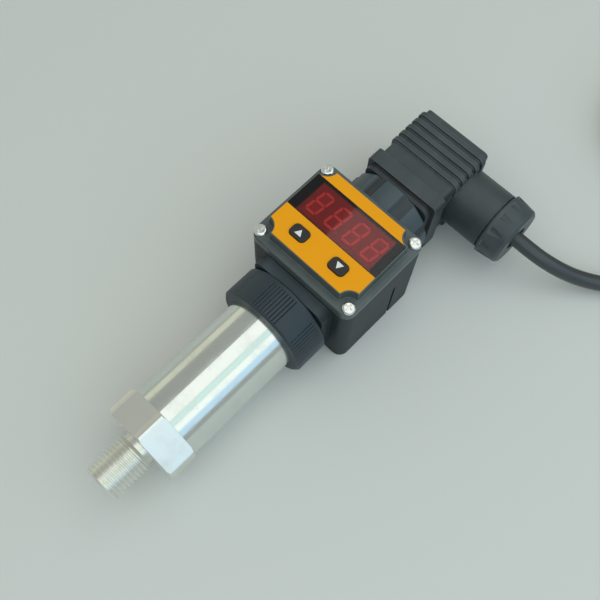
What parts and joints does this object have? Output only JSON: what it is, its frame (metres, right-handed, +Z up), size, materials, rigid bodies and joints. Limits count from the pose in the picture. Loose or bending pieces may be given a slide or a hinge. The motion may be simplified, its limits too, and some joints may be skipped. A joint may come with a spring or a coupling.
{
  "type": "pressure transmitter",
  "caption": "Pressure transmitter with a threaded steel sensor, a box display head with keys and an orange label, and an angled cable plug with a lead.",
  "frame": {"origin": "on the table, under the middle of the transmitter without its cable", "axes": "+X from the process thread along the axis to the cable plug, +Y to the side away from the cable gland, +Z up, the way the display looks"},
  "size_m": [0.285, 0.1158, 0.0416],
  "materials": {
    "machined_steel": "satin",
    "polished_steel": "polished",
    "screw_steel": "bright",
    "black_plastic": "satin",
    "key_plastic": "satin",
    "module_plastic": "matte",
    "label_foil": "satin",
    "red_filter": "gloss",
    "lit_segment": "gloss",
    "white_print": "matte",
    "circuit_board": "satin",
    "ceramic": "satin",
    "seal_rubber": "matte",
    "contact_metal": "plain",
    "core_copper": "plain",
    "cable_sheath": "satin"
  },
  "bodies": {
    "transmitter": {"process_connection": "machined_steel", "pressure_cell": "ceramic", "clamp_ring": "machined_steel", "cell_seal": "seal_rubber", "housing_tube": "polished_steel", "amplifier_board": "circuit_board", "front_plug_base": "black_plastic", "front_contact_blades": "contact_metal", "head_housing": "black_plastic", "lid_seal": "seal_rubber", "head_lid": "black_plastic", "lid_screws": "screw_steel", "label_band": "label_foil", "label_strip": "label_foil", "display_window": "red_filter", "display_module": "module_plastic", "display_segments": "lit_segment", "display_board": "circuit_board", "key_switches": "module_plastic", "main_board": "circuit_board", "board_header": "module_plastic", "rear_plug_base": "black_plastic", "shank_lock_nut": "black_plastic", "rear_contact_blades": "contact_metal", "flat_seal": "seal_rubber", "plug_housing": "black_plastic", "plug_insert": "module_plastic", "plug_screw": "screw_steel", "plug_screw_seal": "seal_rubber", "gland_seal": "seal_rubber", "gland_washer": "black_plastic", "cable": "cable_sheath", "cable_coil": "cable_sheath", "coil_tie": "black_plastic", "cable_cores": "core_copper"},
    "key_up": {"key_up": "key_plastic", "key_up_arrow": "white_print"},
    "key_down": {"key_down": "key_plastic", "key_down_arrow": "white_print"},
    "union_ring": {"union_ring": "black_plastic"},
    "coupling_nut": {"coupling_nut": "black_plastic"},
    "gland_nut": {"gland_nut": "black_plastic"}
  },
  "joints": [
    {"name": "key_up_press", "type": "slide", "parent": "transmitter", "child": "key_up", "axis": [0, 0, -1], "range_m": [0, 0.0004], "stiffness_N_per_m": 3000},
    {"name": "key_down_press", "type": "slide", "parent": "transmitter", "child": "key_down", "axis": [0, 0, -1], "range_m": [0, 0.0004], "stiffness_N_per_m": 3000},
    {"name": "union_ring_turn", "type": "hinge", "parent": "transmitter", "child": "union_ring", "pos_m": [-0.00815, 0.00825, 0.0178], "axis": [1, 0, 0], "range_deg": [0, 270]},
    {"name": "coupling_nut_turn", "type": "hinge", "parent": "transmitter", "child": "coupling_nut", "pos_m": [0.04345, 0.00825, 0.0178], "axis": [1, 0, 0], "range_deg": [0, 270]},
    {"name": "gland_nut_turn", "type": "hinge", "parent": "transmitter", "child": "gland_nut", "pos_m": [0.06995, -0.02515, 0.0178], "axis": [0, -1, 0], "range_deg": [0, 270]}
  ]
}
